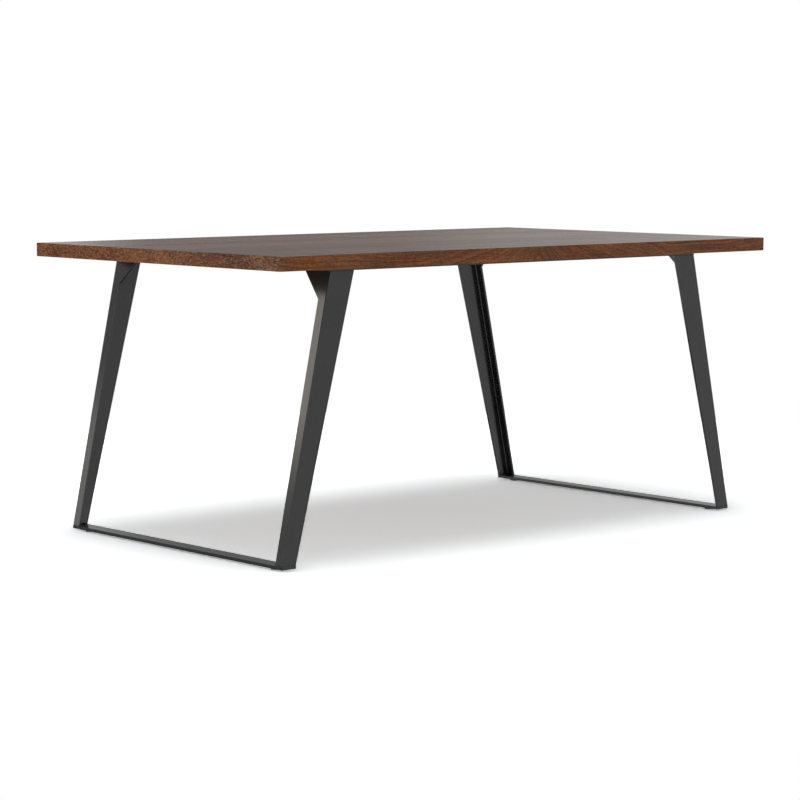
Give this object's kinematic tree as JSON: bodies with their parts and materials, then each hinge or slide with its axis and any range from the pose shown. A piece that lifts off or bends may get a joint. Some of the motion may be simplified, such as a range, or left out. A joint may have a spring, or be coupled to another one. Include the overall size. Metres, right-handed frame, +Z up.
{
  "type": "butcher block table",
  "caption": "Rectangular table with a thick dark butcher block top on a black steel base of splayed L-section legs joined by a floor rail at each end.",
  "frame": {"origin": "on the floor, under the middle of the top", "axes": "+X along the grain and the long side of the top, +Y towards the rear long side, +Z up"},
  "size_m": [1.676, 1.016, 0.75],
  "materials": {
    "wood": "satin",
    "steel": "semi-gloss powder coat",
    "zinc": "zinc plated",
    "insert": "plain",
    "glide": "matte"
  },
  "bodies": {
    "root": {"front_left_leg_face_plate": "steel", "front_left_leg_side_plate": "steel", "front_long_frame_rail": "steel", "front_right_leg_face_plate": "steel", "front_right_leg_side_plate": "steel", "glide_screws": "zinc", "left_end_frame_rail": "steel", "left_floor_rail": "steel", "left_glides": "glide", "leg_corner_welds": "steel", "leg_foot_welds": "steel", "leg_head_welds": "steel", "rear_left_leg_face_plate": "steel", "rear_left_leg_side_plate": "steel", "rear_long_frame_rail": "steel", "rear_right_leg_face_plate": "steel", "rear_right_leg_side_plate": "steel", "right_end_frame_rail": "steel", "right_floor_rail": "steel", "right_glides": "glide", "top_fixing_screws": "zinc", "top_stave_01": "wood", "top_stave_02": "wood", "top_stave_03": "wood", "top_stave_04": "wood", "top_stave_05": "wood", "top_stave_06": "wood", "top_stave_07": "wood", "top_stave_08": "wood", "top_stave_09": "wood", "top_stave_10": "wood", "top_stave_11": "wood", "top_stave_12": "wood", "top_stave_13": "wood", "top_stave_14": "wood", "top_stave_15": "wood", "top_stave_16": "wood", "top_stave_17": "wood", "top_stave_18": "wood", "top_stave_19": "wood", "top_stave_20": "wood", "top_threaded_inserts": "insert"}
  },
  "joints": []
}
